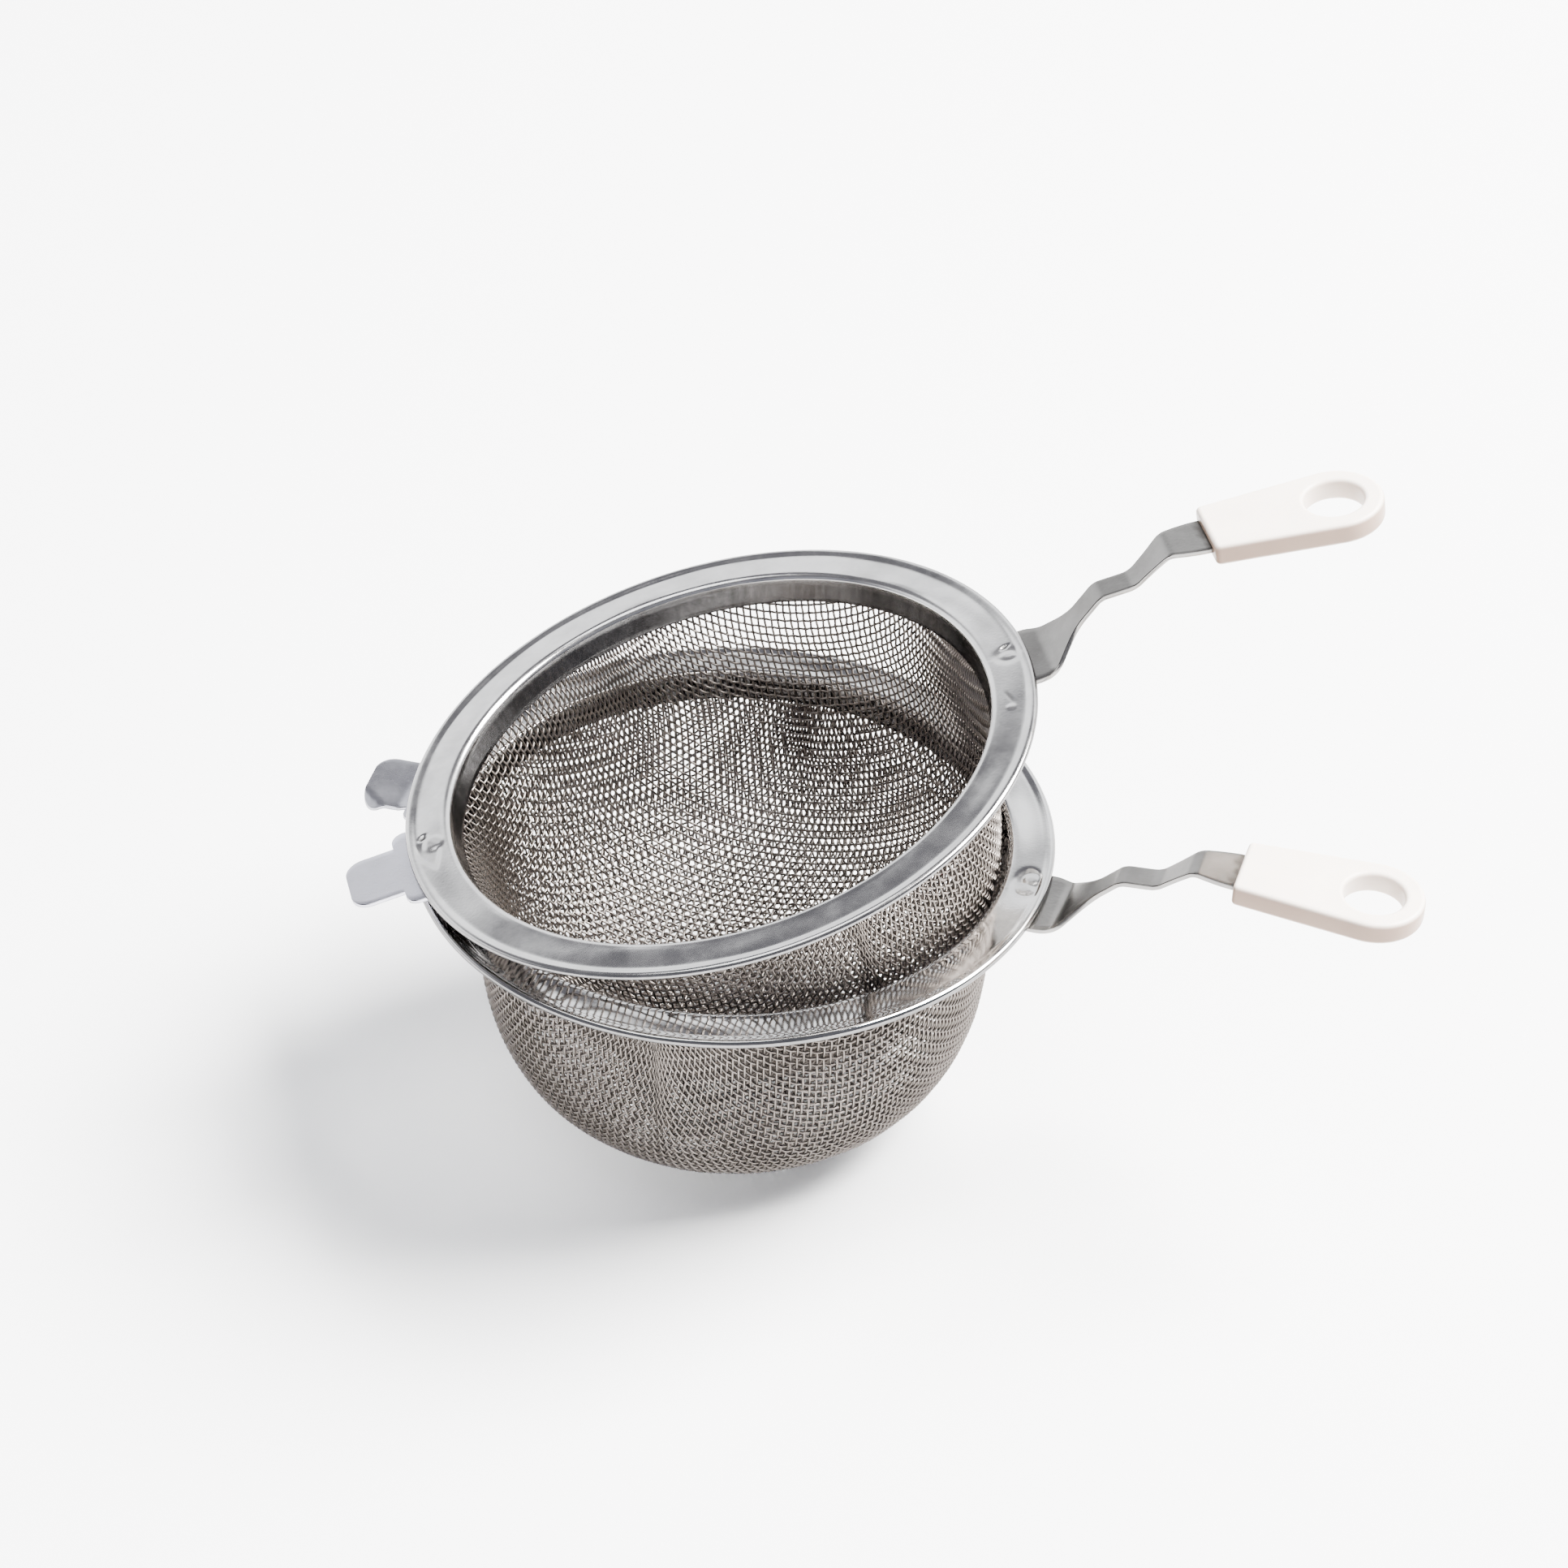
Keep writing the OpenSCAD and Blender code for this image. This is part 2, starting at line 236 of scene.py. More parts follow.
class Cloth:
    """Square-woven cloth drawn into a bowl: the wires keep their spacing and the cells shear.

    The cloth also stretches up the walls, from start to end along its section and by up to most
    times. So the net is laid on a shorter virtual bowl and pulled up to the real one.
    """

    def __init__(self, power, crease, start=35.0, end=75.0, most=1.22):
        self.r, self.z, self.s = cloth_profile(power)
        self.crease = crease
        t = np.clip((self.s - start) / (end - start), 0, 1)
        k = 1 + (most - 1) * t * t * (3 - 2 * t)
        self.sv = np.r_[0, np.cumsum(np.diff(self.s) * 2 / (k[1:] + k[:-1]))]
        slope = np.gradient(self.r, self.sv)
        rise = np.sqrt(np.maximum(1e-4, 1 - ((slope[1:] + slope[:-1]) / 2) ** 2))
        self.zv = np.r_[0, np.cumsum(rise * np.diff(self.sv))]
        self.top = float(np.interp(CLOTH_TOP, self.z, self.sv))
        self.lay_net()

    def virtual(self, t, a):
        """Point of the virtual bowl at arc length t and azimuth a."""
        r = np.interp(t, self.sv, self.r)
        return np.array([r * math.cos(a), r * math.sin(a), np.interp(t, self.sv, self.zv)])

    def next_node(self, a, b, o):
        """The node one pitch from both a and b, on the far side from o."""
        pa, pb, po = self.virtual(*a), self.virtual(*b), self.virtual(*o)
        q = pa + pb - po
        near = np.argmin((self.r - math.hypot(q[0], q[1])) ** 2 + (self.zv - q[2]) ** 2)
        x = np.array([max(self.sv[near], min(a[0], b[0])), math.atan2(q[1], q[0])])
        for _ in range(12):
            p = self.virtual(*x)
            f = np.array([np.dot(p - pa, p - pa), np.dot(p - pb, p - pb)]) - PITCH**2
            if np.abs(f).max() < 1e-6:
                return tuple(x) if np.linalg.norm(p - po) > 0.15 * PITCH else None
            e = 1e-3
            dt = (self.virtual(x[0] + e, x[1]) - p) / e
            da = (self.virtual(x[0], x[1] + e) - p) / e
            jac = 2 * np.array([[np.dot(p - end, d) for d in (dt, da)] for end in (pa, pb)])
            if abs(np.linalg.det(jac)) < 1e-9:
                return None
            step = np.linalg.solve(jac, -f)
            reach = 1.2 / max(np.interp(x[0], self.sv, self.r), 1.0)
            x = x + np.clip(step, [-1.2, -reach], [1.2, reach])
        return None

    def lay_net(self):
        """Nodes (i, j) of one quarter, as arc length on the virtual bowl and azimuth."""
        last = int(self.sv[-1] / PITCH)
        net = {(0, 0): (0.0, 0.0)}
        for i in range(1, last + 1):
            net[(i, 0)] = (i * PITCH, 0.0)
            net[(0, i)] = (i * PITCH, math.pi / 2)
        for i in range(1, last + 1):
            for j in range(1, last + 1):
                near = [net.get((i - 1, j)), net.get((i, j - 1)), net.get((i - 1, j - 1))]
                if None in near:
                    continue
                node = self.next_node(*near)
                if node is not None and node[0] <= self.sv[-1]:
                    net[(i, j)] = node
        self.net, self.last = net, last

    def node(self, i, j):
        """Arc length and azimuth of any node, from the quarter it is a copy of."""
        if i >= 0 and j >= 0:
            key, q = (i, j), 0
        elif i < 0 <= j:
            key, q = (j, -i), 1
        elif i < 0 and j < 0:
            key, q = (-i, -j), 2
        else:
            key, q = (-j, i), 3
        n = self.net.get(key)
        if n is None or n[0] > self.top:
            return None
        return n[0], n[1] + q * math.pi / 2

    def wires(self, family):
        """Each wire as a list of its nodes (t, a, over); over is 1 where it passes outside."""
        out = []
        for fixed in range(-self.last, self.last + 1):
            run = []
            for moving in range(-self.last, self.last + 1):
                i, j = (moving, fixed) if family == 0 else (fixed, moving)
                n = self.node(i, j)
                if n is None:
                    if len(run) > 3:
                        out.append(run)
                    run = []
                else:
                    over = 1 if (i + j + family) % 2 == 0 else -1
                    run.append((n[0], n[1], over))
            if len(run) > 3:
                out.append(run)
        return out

    def surface(self, t, a, seed):
        """Point and outward normal on the real bowl, and the painted shade of the cloth there."""
        wall = np.clip((t - CREASE_START) / CREASE_GROWTH, 0, 1)
        # at the four creases, the last of them the sharpest, the cells are squeezed together,
        # pulled up and pushed out
        wall = wall * np.where(a % (2 * math.pi) > 1.5 * math.pi, 1.0, FAINT_CREASE)
        turn = a % (math.pi / 2) - math.pi / 4
        across = turn * np.interp(t, self.sv, self.r)
        squeeze_w, pull_w, ridge_w = 4.5, 2.4, 1.7
        a = a - 0.5 * wall * np.exp(-((across / squeeze_w) ** 2)) * turn
        t = np.minimum(t + 1.8 * wall * np.exp(-np.abs(across) / pull_w), self.top + 1)
        ridge = self.crease * wall * np.exp(-np.sqrt(across**2 + 0.16) / ridge_w)
        # painted shade: the cloth is darkened along each crease, most at the sharpest one
        shade = 0.45 * wall * np.exp(-((across / pull_w) ** 2))
        r, z = np.interp(t, self.sv, self.r), np.interp(t, self.sv, self.z)
        dr = np.interp(t, self.sv, np.gradient(self.r, self.sv))
        dz = np.interp(t, self.sv, np.gradient(self.z, self.sv))
        length = np.hypot(dr, dz)
        nr, nz = dz / length, -dr / length
        point = np.stack([r * np.cos(a), r * np.sin(a), z], -1)
        normal = np.stack([nr * np.cos(a), nr * np.sin(a), nz], -1)
        rng = np.random.default_rng(seed)
        dent = 0.12 * smooth_noise(rng, a * WALL_R, t, 5, 22.0) * np.clip(t / 10, 0, 1)
        return point + normal * (ridge + dent)[..., None], normal, shade


def tubes(paths):
    """Wires along paths of (points, normals, shade): their vertices, quads, end caps and shades."""
    sides = WIRE_SIDES
    ring = np.arange(sides) * 2 * math.pi / sides
    c = np.arange(sides)[None, :]
    d = (c + 1) % sides
    verts, quads, caps, shades, base = [], [], [], [], 0
    for pts, nrm, shade in paths:
        n = len(pts)
        tan = np.gradient(pts, axis=0)
        tan /= np.linalg.norm(tan, axis=1)[:, None]
        up = nrm - tan * (nrm * tan).sum(1)[:, None]
        up /= np.linalg.norm(up, axis=1)[:, None]
        side = np.cross(tan, up)
        around = np.cos(ring)[None, :, None] * up[:, None] + np.sin(ring)[None, :, None] * side[:, None]
        verts.append((pts[:, None] + WIRE_R * around).reshape(-1, 3))
        shades.append(np.repeat(shade, sides))
        k = base + np.arange(n - 1)[:, None] * sides
        quads.append(np.stack([k + c, k + d, k + sides + d, k + sides + c], -1).reshape(-1, 4))
        caps += [base + c[0, ::-1], base + (n - 1) * sides + c[0]]
        base += n * sides
    return np.concatenate(verts), np.concatenate(quads), np.array(caps), np.concatenate(shades)


def wire_path(cloth, run, seed, twist):
    """A wire through its nodes, passing over and under, with its surface normals and shade."""
    t, a, over = np.array([n[0] for n in run]), np.unwrap([n[1] for n in run]), run[0][2]
    pts, nrm, dark = cloth.surface(t, a, seed)
    m = len(run)
    k = np.arange((m - 1) * STEPS_PER_CELL + 1) / STEPS_PER_CELL
    # Catmull-Rom through the nodes
    i = np.minimum(k.astype(int), m - 2)
    f = (k - i)[:, None]
    p0, p1 = pts[np.maximum(i - 1, 0)], pts[i]
    p2, p3 = pts[i + 1], pts[np.minimum(i + 2, m - 1)]
    square, cube = 2 * p0 - 5 * p1 + 4 * p2 - p3, 3 * p1 - p0 - 3 * p2 + p3
    path = 0.5 * (2 * p1 + (p2 - p0) * f + square * f**2 + cube * f**3)
    n = nrm[i] * (1 - f) + nrm[i + 1] * f
    n /= np.linalg.norm(n, axis=1)[:, None]
    wave = over * np.cos(math.pi * k) * CRIMP
    path = path + n * wave[:, None]
    c, s = math.cos(twist), math.sin(twist)
    spin = np.array([[c, -s, 0], [s, c, 0], [0, 0, 1]])
    return path @ spin.T, n @ spin.T, np.interp(k, np.arange(m), dark)


def make_mesh_bowl(side, matrix, material):
    """Every wire of one bowl's cloth, in two families of two halves each."""
    cloth = Cloth(POWER[side], CREASE_RISE[side])
    twist = math.radians(CREASE_DEG[side] - 45)
    seed = 11 if side == "lower" else 12
    for family in (0, 1):
        wires = cloth.wires(family)
        half = len(wires) // 2
        for part, chosen in (("a", wires[:half]), ("b", wires[half:])):
            co, quads, caps, shades = tubes([wire_path(cloth, run, seed, twist) for run in chosen])
            thread = "warp" if family == 0 else "weft"
            obj = grid_object(f"{side}_{thread}_wires_{part}", co, quads, caps)
            paint(obj, "shade", shades)
            place(obj, side, matrix, material)
            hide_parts(side + "_mesh_bowl")


# ---------------------------------------------------------------- rim
def rim_profile(droop):
    """Closed section of the pressed rim, as radius and height, with the bead curled under."""
    bend = (COLLAR_R + BEND_R, -BEND_R)
    # a flange that droops takes the bead's top down with it
    sink = max(0.0, droop) / 2
    bead, bead_h = (RIM_R - BEAD_R, BEAD_RISE - BEAD_R - sink), BEAD_R - sink
    # the bead's curl starts at join_a, where the flange has risen to join_z
    join_a = math.radians(105)
    join_r, join_z = bead[0] + BEAD_R * math.cos(join_a), bead[1] + bead_h * math.sin(join_a)

    def flange_z(r):
        step = np.clip((r - BEAD_FOOT_R) / (join_r - BEAD_FOOT_R), 0, 1)
        step = step * step * (3 - 2 * step)
        return join_z * step - droop * (1 - step) * np.clip((r - bend[0]) / 6.2, 0, 1) ** 1.2

    pts = []
    lip = COLLAR_LOW_R + SHEET / 2
    collar_out, collar_up = COLLAR_R - COLLAR_LOW_R, COLLAR_H - SHEET / 2 - BEND_R
    for i in range(7):
        a = math.radians(0 - 30 * i)
        pts.append((lip + SHEET / 2 * math.cos(a), -COLLAR_H + SHEET / 2 + SHEET / 2 * math.sin(a)))
    for i in range(1, 5):
        t = i / 5
        pts.append((COLLAR_LOW_R + t * collar_out, -COLLAR_H + SHEET / 2 + t * collar_up))
    for i in range(9):
        a = math.radians(180 - 90 * i / 8)
        pts.append((bend[0] + BEND_R * math.cos(a), bend[1] + BEND_R * math.sin(a)))
    for r in np.arange(bend[0] + 0.3, join_r - 0.1, 0.3):
        pts.append((r, flange_z(r)))
    # the sheet curls right round in the bead
    for i in range(17):
        a = join_a - (join_a + math.radians(150)) * i / 16
        pts.append((bead[0] + BEAD_R * math.cos(a), bead[1] + bead_h * math.sin(a)))
    under = BEAD_UNDER[0]
    pts += [BEAD_UNDER, (under - 0.2, flange_z(under - 0.2) - SHEET - 0.05)]
    for r in np.arange(under - 0.7, bend[0] + 0.5, -1.0):
        pts.append((r, flange_z(r) - SHEET))
    for i in range(7):
        a = math.radians(90 + 90 * i / 6)
        pts.append((bend[0] + (BEND_R - SHEET) * math.cos(a), bend[1] + (BEND_R - SHEET) * math.sin(a)))
    for i in range(1, 4):
        t = i / 4
        pts.append((COLLAR_R + SHEET - t * collar_out, -BEND_R - t * collar_up))
    return np.array(pts)


def dish(x, y, at, size, height, edge=0.5, turn=0.0, taper=0.0):
    """A soft-edged oval, raised or sunk by height, and how far inside it each point is."""
    c, n = math.cos(math.radians(turn)), math.sin(math.radians(turn))
    u = ((x - at[0]) * c + (y - at[1]) * n) / size[0]
    v = ((y - at[1]) * c - (x - at[0]) * n) / size[1]
    q = np.hypot(u, v / np.clip(1 - taper * u, 0.15, 2))
    inside = 1 / (1 + np.exp((q - 1) / edge * 4))
    return height * inside, inside


def weld_marks(side, x, y):
    """How far the weld marks and dings raise the flange, and how stained and how dull it is there."""
    dz, stain, matte = np.zeros_like(x), np.zeros_like(x), np.zeros_like(x)

    def add(mark, dark=0.0):
        nonlocal dz, stain, matte
        dz = dz + mark[0]
        stain = np.maximum(stain, dark * mark[1])
        matte = np.maximum(matte, 0.6 * mark[1])

    if side == "lower":
        # two nuggets side by side in one big dish
        add(dish(x, y, (70.2, 2.9), (5.0, 3.1), -0.36, 0.4, 97), 0.1)
        add(dish(x, y, (70.5, 4.9), (1.9, 1.6), 0.36, 0.6, 90))
        add(dish(x, y, (69.9, 1.0), (2.0, 1.7), 0.36, 0.6))
    else:
        # the tab's weld: a raised nugget beside a deep nick, over a leaf-shaped dish
        add(dish(x, y, (-70.0, -2.6), (4.9, 2.3), -0.42, 0.4, -83, 0.5))
        add(dish(x, y, (-68.8, 0.9), (2.1, 2.0), 0.52, 0.5))
        add(dish(x, y, (-70.8, 4.2), (1.0, 0.6), -0.5, 0.7, 30), 1.0)
        # the handle's weld: a nick over a faint nugget
        add(dish(x, y, (70.2, 0.4), (3.0, 2.6), -0.22, 0.6))
        add(dish(x, y, (70.3, 0.2), (1.6, 1.3), 0.22, 0.6))
        add(dish(x, y, (70.3, 3.6), (1.2, 0.45), -0.35, 0.6, 25), 0.9)
        # a stained scratch and a small bump farther round
        add(dish(x, y, (67.0, -15.2), (2.1, 0.45), -0.04, 0.7, -78), 0.7)
        add(dish(x, y, (66.4, -18.7), (0.9, 0.8), 0.09, 0.7))
    return dz, stain, matte


def make_rim(side, matrix, material):
    """The pressed rim: its section swept round, with pressing waves, weld marks and dings."""
    prof = rim_profile(FLANGE_DROOP[side])
    n, m = RIM_STEPS, len(prof)
    a = np.arange(n) * 2 * math.pi / n
    r = np.broadcast_to(prof[:, 0], (n, m))
    z = np.broadcast_to(prof[:, 1], (n, m)).copy()
    x, y = r * np.cos(a)[:, None], r * np.sin(a)[:, None]
    rng = np.random.default_rng(5 if side == "lower" else 6)
    flange = np.clip((r - WAVES_IN_R) / 1.5, 0, 1) * np.clip((WAVES_OUT_R - r) / 1.5, 0, 1)
    # pressing waves: long round the rim and short across it, and some of no direction
    along = smooth_noise(rng, a[:, None] * 70 + 0 * r, r * 4.5, 7, 34.0)
    z += flange * (0.12 * along + 0.07 * smooth_noise(rng, x, y, 6, 22.0) - 0.03)
    top = (z > -0.6) & (r > MARKS_IN_R) & (r < MARKS_OUT_R)
    dz, stain, matte = weld_marks(side, x, y)
    fade = np.where(top, np.clip((MARKS_OUT_R - r) / 0.6, 0, 1), 0)
    z += np.minimum(dz * fade, 0.2)
    # painted shade on the collar below the bend, darker lower down, plus the real stains of the weld marks
    shade = np.where(r < BEND_SHADE_R, np.clip((-prof[:, 1] - 0.5) / 1.4, 0, 1), 0) + stain * fade
    # painted shade: the bead is darker on its outer and lower side
    below_top = prof[:, 1].max() - 0.05 - prof[:, 1]
    shade += np.where(r > RIM_R - BEAD_R, np.clip(below_top / 0.6, 0, 0.8), 0)
    co = np.stack([x, y, z], -1).reshape(-1, 3)
    i, j = np.meshgrid(np.arange(n), np.arange(m), indexing="ij")
    i2, j2 = (i + 1) % n, (j + 1) % m
    quads = np.stack([i * m + j, i * m + j2, i2 * m + j2, i2 * m + j], -1).reshape(-1, 4)
    obj = grid_object(side + "_rim_sheet", co, quads)
    paint(obj, "shade", np.clip(shade, 0, 1).ravel())
    paint(obj, "matte", (matte * fade).ravel())
    place(obj, side, matrix, material)
    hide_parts(side + "_rim")


# ---------------------------------------------------------------- strap and tab: flat strips
def strip(name, rings):
    """A flat strip from rings of (centre, across, up, half width, half thickness)."""
    across_n, edge_n = 13, 5
    verts, faces = [], []
    for centre, across, up, hw, ht in rings:
        e = min(ht * 0.8, 0.35)
        # each half of the loop is a face from edge to edge, then the rounded edge after it
        for s in (1, -1):
            half = [(s * (-1 + 2 * k / (across_n - 1)) * (hw - e), s * ht) for k in range(across_n)]
            for k in range(edge_n):
                b = math.pi / 2 - math.pi * (k + 0.5) / edge_n
                flat = math.copysign(ht - e, math.sin(b)) if abs(math.sin(b)) > 1e-6 else 0
                half.append((s * (hw - e + e * math.cos(b)), s * (flat + e * math.sin(b))))
            verts += [centre + across * u + up * w for u, w in half]
    m = 2 * across_n + 2 * edge_n
    for i in range(len(rings) - 1):
        for j in range(m):
            k = (j + 1) % m
            faces.append((i * m + j, i * m + k, (i + 1) * m + k, (i + 1) * m + j))
    faces.append(tuple(range(m - 1, -1, -1)))
    last = (len(rings) - 1) * m
    faces.append(tuple(range(last, last + m)))
    obj = mesh_object(name, verts, faces, True, 35)
    # painted shade: a dark line where the top face turns into each edge
    line = np.zeros(m)
    line[[across_n, m - 1]] = 0.8
    paint(obj, "shade", np.tile(line, len(rings)))
    return obj


def rounded_path(points, reach, steps):
    """The line through points, with each corner rounded from reach before it to reach after it."""
    out = [points[0]]
    for i in range(1, len(points) - 1):
        p, a, b = points[i], points[i - 1], points[i + 1]
        s = p + reach * (a - p) / np.linalg.norm(a - p)
        e = p + reach * (b - p) / np.linalg.norm(b - p)
        for k in range(steps + 1):
            t = k / steps
            out.append((1 - t) ** 2 * s + 2 * t * (1 - t) * p + t * t * e)
    out.append(points[-1])
    return out


def lifted(p, side):
    """Where a point of the strap's side view goes with the bend at its root."""
    c, s = math.cos(LIFT[side]), math.sin(LIFT[side])
    q = p - STRAP_A
    return STRAP_A + np.array([q[0] * c - q[1] * s, q[0] * s + q[1] * c])


def ease(t):
    """0 to 1, with a soft start and end."""
    t = min(1.0, max(0.0, t))
    return (1 - math.cos(math.pi * t)) / 2


def corner(half_width, radius, past):
    """Half width of a strip with rounded corners, at a distance past where the corners start."""
    return half_width - radius + math.sqrt(max(0, radius**2 - max(0, past) ** 2))


def strap_width(x):
    """The strap's width: a spread root, a narrow neck, and a wider end in the grip's mouth."""
    if x < ROOT_R + ROOT_CORNER_R:
        return 2 * corner(FAN_W / 2, ROOT_CORNER_R, ROOT_R + ROOT_CORNER_R - x)
    if x < STRAP_C[0]:
        return FAN_W + (NECK_W - FAN_W) * ease((x - RIM_R - 0.5) / 13)
    return NECK_W + (MOUTH_W - NECK_W) * ease((x - STRAP_C[0]) / (STRAP_G[0] - STRAP_C[0]))


def make_strap(side, matrix, material):
    """The handle's bent strip, from its spread root to its end inside the grip."""
    bends = [np.array([ROOT_R, PLATE_Z]), STRAP_A]
    bends += [lifted(p, side) for p in (STRAP_B, STRAP_C, STRAP_D, STRAP_E)]
    line = rounded_path(bends, STRAP_BEND, 7)
    fine = []
    for a, b in zip(line[:-1], line[1:]):
        k = max(1, int(np.linalg.norm(b - a) / STRAP_STEP))
        fine += [a + (b - a) * i / k for i in range(k)]
    fine.append(line[-1])
    fine = np.array(fine)
    tan = np.gradient(fine, axis=0)
    tan /= np.linalg.norm(tan, axis=1)[:, None]
    rings = []
    for p, t in zip(fine, tan):
        up = np.array([-t[1], 0, t[0]])
        centre = np.array([p[0], 0, p[1]]) - up * STRAP_T / 2
        rings.append((centre, np.array([0, -1.0, 0]), up, strap_width(p[0]) / 2, STRAP_T / 2))
    obj = strip(side + "_strap_strip", rings)
    # the strap turns darker towards the grip's mouth, with a ragged edge
    rng = np.random.default_rng(21 if side == "lower" else 22)
    co = np.array([v.co for v in obj.data.vertices])
    to_mouth = lifted(STRAP_G, side)[0] - co[:, 0] + 1.2 * smooth_noise(rng, co[:, 0], co[:, 1], 4, 4.0)
    shade = np.zeros(len(co), np.float32)
    obj.data.attributes["shade"].data.foreach_get("value", shade)
    shade = np.maximum(shade, 0.75 * np.clip(1.6 - to_mouth / 1.2, 0, 1)).astype(np.float32)
    obj.data.attributes["shade"].data.foreach_set("value", shade)
    place(obj, side, matrix, material)
    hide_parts(side + "_handle_strap")


def tab_half_width(x):
    """Half the tab's width: two shoulders under the rim, then the tongue."""
    if x < RIM_R + ROOT_CORNER_R:
        past = max(ROOT_R + ROOT_CORNER_R - x, x - RIM_R)
        return corner(SHOULDER_W / 2, ROOT_CORNER_R, past)
    return corner(TAB_W / 2, TAB_TIP_R, x - TAB_END + TAB_TIP_R)


def make_tab(side, matrix, material):
    """The flat tab opposite the handle."""
    shoulder, step = RIM_R + ROOT_CORNER_R, 0.6
    xs = [ROOT_R + ROOT_CORNER_R * (1 - math.cos(math.radians(18 * i))) for i in range(6)]
    xs += list(np.arange(RIM_R - 6 * step, RIM_R, step))
    xs += [RIM_R + ROOT_CORNER_R * math.sin(math.radians(15 * i)) for i in range(6)]
    xs += [shoulder - 0.01] + list(np.arange(shoulder, TAB_END - TAB_TIP_R - 0.1, step))
    xs += [TAB_END - TAB_TIP_R + TAB_TIP_R * math.sin(math.radians(9 * i)) for i in range(11)]
    z = PLATE_Z - TAB_T / 2
    rings = []
    for k, x in enumerate(xs):
        ht = TAB_T / 2 - 0.15 if k in (0, len(xs) - 1) else TAB_T / 2
        hw = max(tab_half_width(x), 1.0)
        rings.append((np.array([x, 0, z]), np.array([0, -1.0, 0]), np.array([0, 0, 1.0]), hw, ht))
    obj = strip(side + "_tab_plate", rings)
    if side == "lower":
        # painted shade: the whole lower tab is darkened
        shade = obj.data.attributes["shade"].data
        shade.foreach_set("value", np.full(len(shade), 0.55, np.float32))
        # the lower tab is twisted towards the front and one corner of it is bent down
        for v in obj.data.vertices:
            twisted = ease((v.co.x - TAB_TWIST_START) / 5)
            v.co.z -= math.tan(TAB_TWIST) * twisted * (v.co.y + TAB_W / 2)
            past_fold = (v.co.x - DOG_EAR[0]) * 0.62 + (v.co.y - DOG_EAR[1]) * 0.78
            if past_fold > 0:
                v.co.z -= 0.9 * past_fold
                v.co.x -= 0.12 * past_fold
                v.co.y -= 0.12 * past_fold
    obj.data.transform(Matrix.Rotation(math.pi + TAB_SKEW, 4, "Z"))
    place(obj, side, matrix, material)
    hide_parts(side + "_front_tab")


# ---------------------------------------------------------------- grip
def make_grip(side, matrix, material):
    """A flat moulding with rounded edges, from an outline with a hole."""
    bevel, c = GRIP_BEVEL, GRIP_CORNER_R
    r = GRIP_END_W / 2
    cx = GRIP_L - r
    curve = bpy.data.curves.new(side + "_grip_outline", "CURVE")
    curve.dimensions, curve.fill_mode = "2D", "BOTH"
    curve.extrude = GRIP_T / 2 - bevel
    curve.bevel_depth, curve.bevel_resolution, curve.offset = bevel, 5, -bevel
    outline = []
    side_slope = math.atan2((GRIP_END_W - GRIP_W) / 2, cx)
    for i in range(49):
        a = -math.pi / 2 - side_slope + (math.pi + 2 * side_slope) * i / 48
        outline.append((cx + r * math.cos(a), r * math.sin(a)))
    for i in range(7):
        a = math.pi / 2 + (math.pi / 2) * i / 6
        outline.append((c + c * math.cos(a), GRIP_W / 2 - c + c * math.sin(a)))
    for i in range(7):
        a = math.pi + (math.pi / 2) * i / 6
        outline.append((c + c * math.cos(a), -GRIP_W / 2 + c + c * math.sin(a)))
    hole_r, hole_turn = HANG_D / 2, np.linspace(0, -2 * math.pi, 73)[:-1]
    hole = [(cx + hole_r * math.cos(a), hole_r * math.sin(a)) for a in hole_turn]
    for pts in (outline, hole):
        sp = curve.splines.new("POLY")
        sp.points.add(len(pts) - 1)
        for p, (x, y) in zip(sp.points, pts):
            p.co = (x, y, 0, 1)
        sp.use_cyclic_u = True
    source = bpy.data.objects.new("outline", curve)
    bpy.context.scene.collection.objects.link(source)
    bpy.context.view_layer.update()
    me = bpy.data.meshes.new_from_object(source.evaluated_get(bpy.context.evaluated_depsgraph_get()))
    bpy.data.objects.remove(source)
    me.name = side + "_grip_moulding"
    obj = bpy.data.objects.new(side + "_grip_moulding", me)
    bpy.context.scene.collection.objects.link(obj)
    me.polygons.foreach_set("use_smooth", [True] * len(me.polygons))
    me.set_sharp_from_angle(angle=math.radians(35))
    # painted shade: the side is darker than the top, but the wall of the hole gets less of it, as it catches the
    # light
    co = np.array([v.co for v in me.vertices])
    outside = np.where(np.hypot(co[:, 0] - cx, co[:, 1]) > hole_r + 1.5, 1.0, 0.45)
    edge = np.clip((GRIP_T / 2 - np.abs(co[:, 2]) - 0.15) / (bevel * 0.7), 0, 1)
    paint(obj, "shade", outside * edge)
    start = lifted(STRAP_G, side)
    tilt = Matrix.Rotation(GRIP_SLOPE - LIFT[side], 4, "Y")
    half_strap = Matrix.Translation((0, 0, -STRAP_T / 2))
    me.transform(Matrix.Translation((start[0], 0, start[1])) @ tilt @ half_strap)
    place(obj, side, matrix, material)
    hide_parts(side + "_grip")


# ---------------------------------------------------------------- materials
def new_material(name):
    mat = bpy.data.materials.new(name)
    mat.use_nodes = True
    nt = mat.node_tree
    return mat, nt, nt.nodes["Principled BSDF"]


def noise_node(nt, scale, detail=3.0, rough=0.5, stretch=(1, 1, 1)):
    """Noise on the object's own coordinates, in metres."""
    coord = nt.nodes.new("ShaderNodeTexCoord")
    mapping = nt.nodes.new("ShaderNodeMapping")
    mapping.inputs["Scale"].default_value = stretch
    noise = nt.nodes.new("ShaderNodeTexNoise")
    noise.inputs["Scale"].default_value = scale
    noise.inputs["Detail"].default_value = detail
    noise.inputs["Roughness"].default_value = rough
    nt.links.new(coord.outputs["Object"], mapping.inputs["Vector"])
    nt.links.new(mapping.outputs["Vector"], noise.inputs["Vector"])
    return noise.outputs["Fac"]


